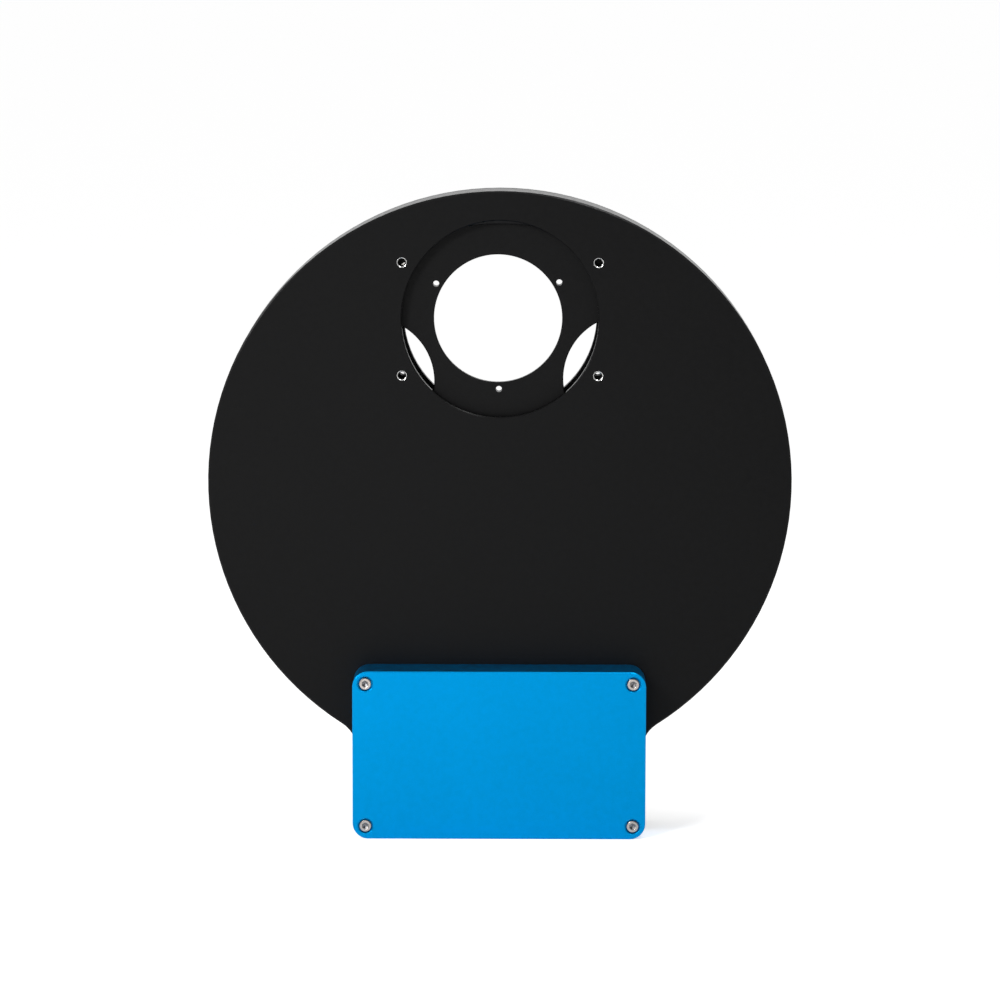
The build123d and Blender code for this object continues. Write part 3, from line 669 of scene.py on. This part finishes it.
class WHEEL_OT_cover_screws(bpy.types.Operator):
    """Make the knurled socket head screws of the motor cover"""

    bl_idname = "wheel.cover_screws"
    bl_label = "Cover screws"

    def execute(self, context):
        s = context.scene.wheel_screws
        low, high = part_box("cover_screws")
        seat = low.y + HEAD_HEIGHT
        places = [(x, z) for x in (low.x + s.head, high.x - s.head) for z in (low.z + s.head, high.z - s.head)]
        steel = turned_metal("stainless_screw_steel", context.scene.wheel_finish.steel, 0.24)
        screws = [socket_screw(x, z, seat, low.y, high.y, s) for x, z in places]
        # Painted shade: the socket's faces take a darker steel that stands in for the shade inside the recess.
        deep = turned_metal("deep_socket", context.scene.wheel_finish.cut * SOCKET_SHADE, 0.3)
        turns = s.knurls * KNURL_POINTS
        columns = len(screws[0][1]) // turns
        sockets = columns_chosen(turns, columns, 0, SOCKET_COLUMNS, len(screws))
        made = make_object("socket_head_screws", *joined(screws), steel, smooth=False, second=deep, chosen=sockets)
        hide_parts("cover_screws")
        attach(made, "housing")
        return {"FINISHED"}


class WHEEL_OT_stage(bpy.types.Operator):
    """Set up the camera, the lamps, the white room and the floor"""

    bl_idname = "wheel.stage"
    bl_label = "Stage"

    def execute(self, context):
        s = context.scene.wheel_stage
        make_camera(s)
        make_world()
        make_floor()
        middle = Vector(MIDDLE)
        for name, place, size, power in LAMPS:
            lamp(name, middle + Vector(place), middle, size, getattr(s, power))
        context.scene.view_settings.view_transform = "Standard"
        return {"FINISHED"}


def make_camera(s):
    """Camera at its place: it aims at the point, then yaws, pitches and rolls by small angles."""
    yaw, pitch, roll = (math.radians(a) for a in s.turn)
    upright = Vector((0, 0, 1))
    eye = Vector(s.eye)
    ahead = (Vector(s.aim) - eye).normalized()
    right = ahead.cross(upright).normalized()
    ahead = (ahead + right * math.tan(yaw) + right.cross(ahead) * math.tan(pitch)).normalized()
    right = ahead.cross(upright).normalized()
    up = right.cross(ahead)
    across = right * math.cos(roll) + up * math.sin(roll)
    over = up * math.cos(roll) - right * math.sin(roll)
    data = bpy.data.cameras.new("camera")
    data.sensor_width = SENSOR
    data.lens = s.lens
    data.clip_start, data.clip_end = CLIP
    camera = bpy.data.objects.new("camera", data)
    bpy.context.scene.collection.objects.link(camera)
    camera.matrix_world = Matrix.Translation(eye) @ Matrix((across, over, -ahead)).transposed().to_4x4()
    bpy.context.scene.camera = camera


def seen_directly(tree):
    """1 for camera, glossy and transmission rays."""
    path = tree.nodes.new("ShaderNodeLightPath")
    total = None
    for key in ("Is Camera Ray", "Is Glossy Ray", "Is Transmission Ray"):
        if total is None:
            total = path.outputs[key]
            continue
        add = tree.nodes.new("ShaderNodeMath")
        add.operation = "ADD"
        add.use_clamp = True
        tree.links.new(total, add.inputs[0])
        tree.links.new(path.outputs[key], add.inputs[1])
        total = add.outputs[0]
    return total


def make_world():
    """A white room, dim on the camera's side where only lamps stand, that lights the object at a plain level."""
    world = bpy.data.worlds.new("white_room")
    world.use_nodes = True
    tree = world.node_tree
    tree.nodes.clear()
    out = tree.nodes.new("ShaderNodeOutputWorld")
    sky = tree.nodes.new("ShaderNodeBackground")
    sky.inputs["Color"].default_value = (1, 1, 1, 1)
    where = tree.nodes.new("ShaderNodeTexCoord")
    split = tree.nodes.new("ShaderNodeSeparateXYZ")
    tree.links.new(where.outputs["Generated"], split.inputs["Vector"])
    path = tree.nodes.new("ShaderNodeLightPath")
    behind = spread(tree, split.outputs["Y"], ROOM_DIM, 1.0, *ROOM_TURN)
    mirrored = tree.nodes.new("ShaderNodeMix")
    tree.links.new(path.outputs["Is Glossy Ray"], mirrored.inputs["Factor"])
    mirrored.inputs["A"].default_value = 1.0
    tree.links.new(behind, mirrored.inputs["B"])
    level = tree.nodes.new("ShaderNodeMix")
    tree.links.new(seen_directly(tree), level.inputs["Factor"])
    level.inputs["A"].default_value = ROOM_LIGHT
    tree.links.new(mirrored.outputs["Result"], level.inputs["B"])
    tree.links.new(level.outputs["Result"], sky.inputs["Strength"])
    tree.links.new(sky.outputs["Background"], out.inputs["Surface"])
    bpy.context.scene.world = world


def make_floor():
    """A pale floor under the wheel that keeps its shadow."""
    mat = bpy.data.materials.new("pale_floor")
    mat.use_nodes = True
    tree = mat.node_tree
    tree.nodes.clear()
    out = tree.nodes.new("ShaderNodeOutputMaterial")
    matte = tree.nodes.new("ShaderNodeBsdfDiffuse")
    matte.inputs["Color"].default_value = (FLOOR_TONE, FLOOR_TONE, FLOOR_TONE, 1)
    glow = tree.nodes.new("ShaderNodeEmission")
    glow.inputs["Color"].default_value = (1, 1, 1, 1)
    path = tree.nodes.new("ShaderNodeLightPath")
    level = spread(tree, seen_directly(tree), 0, FLOOR_GLOW, 0, 1)
    mirrored = spread(tree, path.outputs["Is Glossy Ray"], 0, FLOOR_GLOW_CUT, 0, 1)
    tree.links.new(summed(tree, level, mirrored, 1.0), glow.inputs["Strength"])
    add = tree.nodes.new("ShaderNodeAddShader")
    tree.links.new(matte.outputs[0], add.inputs[0])
    tree.links.new(glow.outputs[0], add.inputs[1])
    tree.links.new(add.outputs[0], out.inputs["Surface"])
    half = FLOOR_HALF
    corners = np.array([[-half, -half, FOOT], [half, -half, FOOT], [half, half, FOOT], [-half, half, FOOT]])
    floor = make_object("floor", corners, [[0, 1, 2, 3]], mat, False)


def lamp(name, place, target, size, power):
    """A square soft lamp that faces its target."""
    data = bpy.data.lights.new(name, "AREA")
    data.size = size
    data.energy = power
    obj = bpy.data.objects.new(name, data)
    obj.location = place
    obj.rotation_euler = (Vector(target) - Vector(place)).to_track_quat("-Z", "Y").to_euler()
    bpy.context.scene.collection.objects.link(obj)


class WHEEL_PT_panel(bpy.types.Panel):
    """The wheel's pieces and settings"""

    bl_idname = "WHEEL_PT_panel"
    bl_label = "Filter Wheel"
    bl_space_type = "VIEW_3D"
    bl_region_type = "UI"
    bl_category = "Filter Wheel"

    def draw(self, context):
        column = self.layout.column()
        for operator in STEPS:
            column.operator(operator.bl_idname)
        for key in ("wheel_finish", "wheel_threads", "wheel_screws", "wheel_stage"):
            settings = getattr(context.scene, key)
            for name in settings.bl_rna.properties.keys():
                if name not in ("rna_type", "name"):
                    column.prop(settings, name)


STEPS = (WHEEL_OT_body, WHEEL_OT_cover, WHEEL_OT_carousel, WHEEL_OT_bearing, WHEEL_OT_drive,
         WHEEL_OT_electronics, WHEEL_OT_threads, WHEEL_OT_cover_screws, WHEEL_OT_stage)
GROUPS = {"wheel_finish": FinishSettings, "wheel_threads": ThreadSettings,
          "wheel_screws": ScrewSettings, "wheel_stage": StageSettings}


def register():
    for group in GROUPS.values():
        bpy.utils.register_class(group)
    for key, group in GROUPS.items():
        setattr(bpy.types.Scene, key, PointerProperty(type=group))
    for operator in STEPS:
        bpy.utils.register_class(operator)
    bpy.utils.register_class(WHEEL_PT_panel)


def unregister():
    bpy.utils.unregister_class(WHEEL_PT_panel)
    for operator in reversed(STEPS):
        bpy.utils.unregister_class(operator)
    for key in GROUPS:
        delattr(bpy.types.Scene, key)
    for group in reversed(list(GROUPS.values())):
        bpy.utils.unregister_class(group)


def main():
    register()
    bpy.ops.wheel.body()
    bpy.ops.wheel.cover()
    bpy.ops.wheel.carousel()
    bpy.ops.wheel.bearing()
    bpy.ops.wheel.drive()
    bpy.ops.wheel.electronics()
    bpy.ops.wheel.threads()
    bpy.ops.wheel.cover_screws()
    bpy.ops.wheel.stage()


if __name__ == "__main__":
    main()
